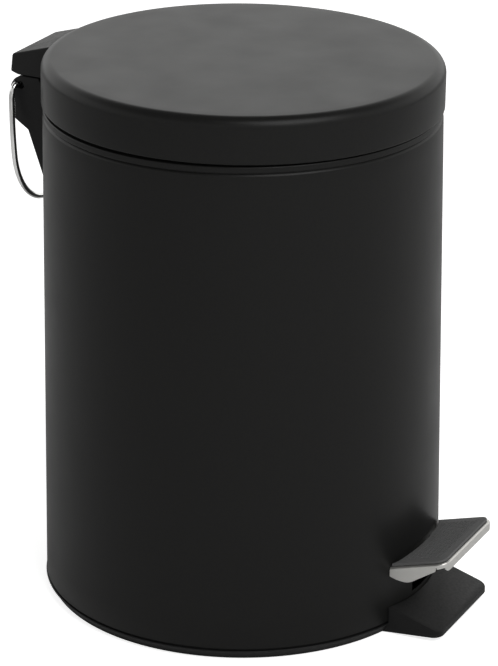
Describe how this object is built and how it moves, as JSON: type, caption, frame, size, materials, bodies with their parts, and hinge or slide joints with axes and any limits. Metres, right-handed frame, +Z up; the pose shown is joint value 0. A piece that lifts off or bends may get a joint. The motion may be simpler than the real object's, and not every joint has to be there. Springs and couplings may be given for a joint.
{
  "type": "pedal trash can",
  "caption": "Round pedal bin with a flat hinged lid, a lift-out bucket, a foot pedal in front and a wire carry handle behind.",
  "frame": {"origin": "on the body's axis at the floor, on the flat underside of the base", "axes": "+Z up along the body's axis, -Y towards the pedal, +Y towards the hinge, +X to the right seen from the pedal"},
  "size_m": [0.2068, 0.2505, 0.2834],
  "materials": {
    "black_coat": "matte black powder coat on steel sheet",
    "black_plastic": "black moulded plastic with a fine grain",
    "black_rubber": "plain black rubber",
    "pad_rubber": "black rubber with a fine raised grid and a plain border",
    "satin_steel": "pressed stainless steel, satin",
    "chrome_wire": "polished chrome-plated wire",
    "zinc_plate": "zinc-plated steel, dull",
    "bucket_plastic": "dark moulded plastic, satin"
  },
  "bodies": {
    "bin": {"base_moulding": "black_plastic", "body_shell": "black_coat", "floor_disc": "zinc_plate", "lever_bracket": "zinc_plate", "lever_axle": "zinc_plate", "bracket_screw_front": "zinc_plate", "bracket_screw_rear": "zinc_plate", "rod_guide": "black_plastic", "rear_bracket": "black_plastic", "hinge_screw_1": "zinc_plate", "hinge_screw_2": "zinc_plate", "hinge_screw_3": "zinc_plate", "hinge_screw_4": "zinc_plate", "hinge_pin": "zinc_plate"},
    "lid": {"lid_shell": "black_coat", "hinge_cap": "black_plastic", "lid_arm": "black_plastic", "lid_screw_left": "zinc_plate", "lid_screw_right": "zinc_plate", "lid_bumper_left": "black_rubber", "lid_bumper_right": "black_rubber"},
    "pedal": {"pedal_lever": "satin_steel", "pedal_plate": "satin_steel", "pedal_pad": "pad_rubber", "pedal_rivet_left": "zinc_plate", "pedal_rivet_right": "zinc_plate"},
    "rod": {"push_rod": "zinc_plate"},
    "handle": {"carry_handle": "chrome_wire"},
    "bucket": {"inner_bucket": "bucket_plastic"},
    "bail": {"bucket_bail": "zinc_plate"}
  },
  "joints": [
    {"name": "lid_hinge", "type": "hinge", "parent": "bin", "child": "lid", "pos_m": [0, 0.114, 0.255], "axis": [-1, 0, 0], "range_deg": [0, 70]},
    {"name": "pedal_pivot", "type": "hinge", "parent": "bin", "child": "pedal", "pos_m": [0, -0.03, 0.0146], "axis": [1, 0, 0], "range_deg": [0, 12.87]},
    {"name": "rod_lift", "type": "slide", "parent": "bin", "child": "rod", "axis": [0, 0, 1], "range_m": [0, 0.028]},
    {"name": "handle_swing", "type": "hinge", "parent": "bin", "child": "handle", "pos_m": [0, 0.1178, 0.258], "axis": [1, 0, 0], "range_deg": [0, 115]},
    {"name": "bucket_lift", "type": "slide", "parent": "bin", "child": "bucket", "axis": [0, 0, 1], "range_m": [0, 0.012]},
    {"name": "bail_swing", "type": "hinge", "parent": "bucket", "child": "bail", "pos_m": [0, 0, 0.249], "axis": [-1, 0, 0], "range_deg": [0, 8]}
  ],
  "couplings": [
    {"joint": "pedal_pivot", "follows": "lid_hinge", "ratio": 0.18386},
    {"joint": "rod_lift", "follows": "lid_hinge", "m_per_rad": 0.022918}
  ]
}
